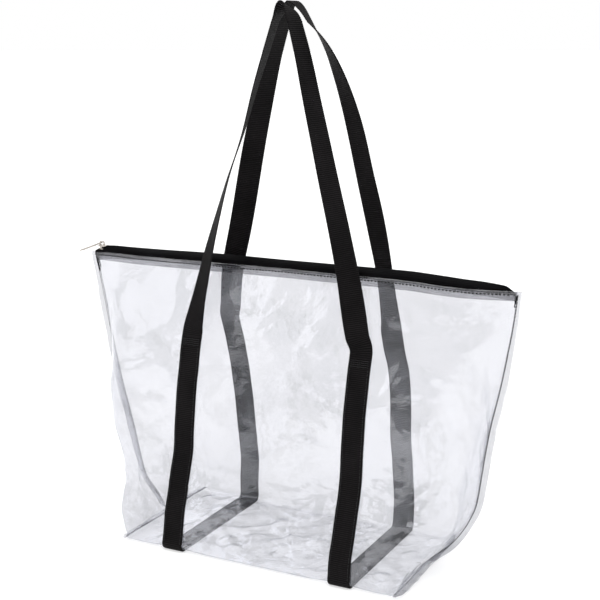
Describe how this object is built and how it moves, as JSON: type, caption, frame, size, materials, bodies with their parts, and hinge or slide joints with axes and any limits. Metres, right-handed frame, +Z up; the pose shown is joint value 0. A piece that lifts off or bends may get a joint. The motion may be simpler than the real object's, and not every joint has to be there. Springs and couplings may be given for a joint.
{
  "type": "clear zip-top tote beach bag",
  "caption": "Clear sheet tote bag with boxed bottom corners, zip top with slider and pull tab, and two tall webbing shoulder handles that run on under the bottom.",
  "frame": {"origin": "on the ground under the centre of the bottom, midway between the two webbing runs, front and back", "axes": "+Z up, +X to the right along the bag's width when its front is seen, +Y towards the back"},
  "size_m": [0.5268, 0.1777, 0.5838],
  "materials": {
    "clear_pvc": "glossy clear sheet with soft wrinkles",
    "webbing": "matt black ribbed flat webbing",
    "zipper_tape": "matt black woven tape",
    "zipper_coil": "black nylon coil",
    "slider_metal": "silver plated, lightly worn",
    "thread": "black sewing thread"
  },
  "bodies": {
    "root": {"front_panel_left": "clear_pvc", "front_panel_right": "clear_pvc", "back_panel_left": "clear_pvc", "back_panel_right": "clear_pvc", "bottom_panel": "clear_pvc", "side_flange_left": "clear_pvc", "side_flange_right": "clear_pvc", "side_seam_stitching_left": "thread", "side_seam_stitching_right": "thread", "gusset_flange_left": "clear_pvc", "gusset_flange_right": "clear_pvc", "gusset_stitching_left": "thread", "gusset_stitching_right": "thread", "bottom_strap_left": "webbing", "bottom_strap_right": "webbing", "bottom_strap_stitching_left": "thread", "bottom_strap_stitching_right": "thread"},
    "front_mouth": {"front_panel_center": "clear_pvc", "front_strap_left": "webbing", "front_strap_right": "webbing", "front_strap_stitching_left": "thread", "front_strap_stitching_right": "thread", "front_strap_tack_left": "thread", "front_strap_tack_right": "thread", "front_hem_stitching": "thread", "zipper_tape_front": "zipper_tape", "zipper_coil_front": "zipper_coil"},
    "back_mouth": {"back_panel_center": "clear_pvc", "back_strap_left": "webbing", "back_strap_right": "webbing", "back_strap_stitching_left": "thread", "back_strap_stitching_right": "thread", "back_strap_tack_left": "thread", "back_strap_tack_right": "thread", "back_hem_stitching": "thread", "zipper_tape_back": "zipper_tape", "zipper_coil_back": "zipper_coil"},
    "front_handle": {"front_handle": "webbing"},
    "back_handle": {"back_handle": "webbing"},
    "slider": {"slider_body": "slider_metal"},
    "pull_tab": {"pull_tab": "slider_metal"}
  },
  "joints": [
    {"name": "slider_slide", "type": "slide", "parent": "root", "child": "slider", "axis": [1, 0, 0], "range_m": [0, 0.46]},
    {"name": "front_mouth_open", "type": "hinge", "parent": "root", "child": "front_mouth", "pos_m": [0, -0.0862, 0.003], "axis": [1, 0, 0], "range_deg": [0, 10], "deforming": ["zipper_tape_front", "zipper_coil_front", "front_hem_stitching"]},
    {"name": "back_mouth_open", "type": "hinge", "parent": "root", "child": "back_mouth", "pos_m": [0, 0.0872, 0.003], "axis": [-1, 0, 0], "range_deg": [0, 10], "deforming": ["zipper_tape_back", "zipper_coil_back", "back_hem_stitching"]},
    {"name": "front_handle_fold", "type": "hinge", "parent": "front_mouth", "child": "front_handle", "pos_m": [0, -0.0363, 0.2304], "axis": [1, 0, 0], "range_deg": [0, 115]},
    {"name": "back_handle_fold", "type": "hinge", "parent": "back_mouth", "child": "back_handle", "pos_m": [0, 0.0491, 0.2304], "axis": [-1, 0, 0], "range_deg": [0, 115]},
    {"name": "pull_swing", "type": "hinge", "parent": "slider", "child": "pull_tab", "pos_m": [-0.2415, 0, 0.317], "axis": [0, 1, 0], "range_deg": [0, 200]}
  ],
  "couplings": [
    {"joint": "front_mouth_open", "follows": "slider_slide", "rad_per_m": 0.37904},
    {"joint": "back_mouth_open", "follows": "slider_slide", "rad_per_m": 0.37904}
  ]
}
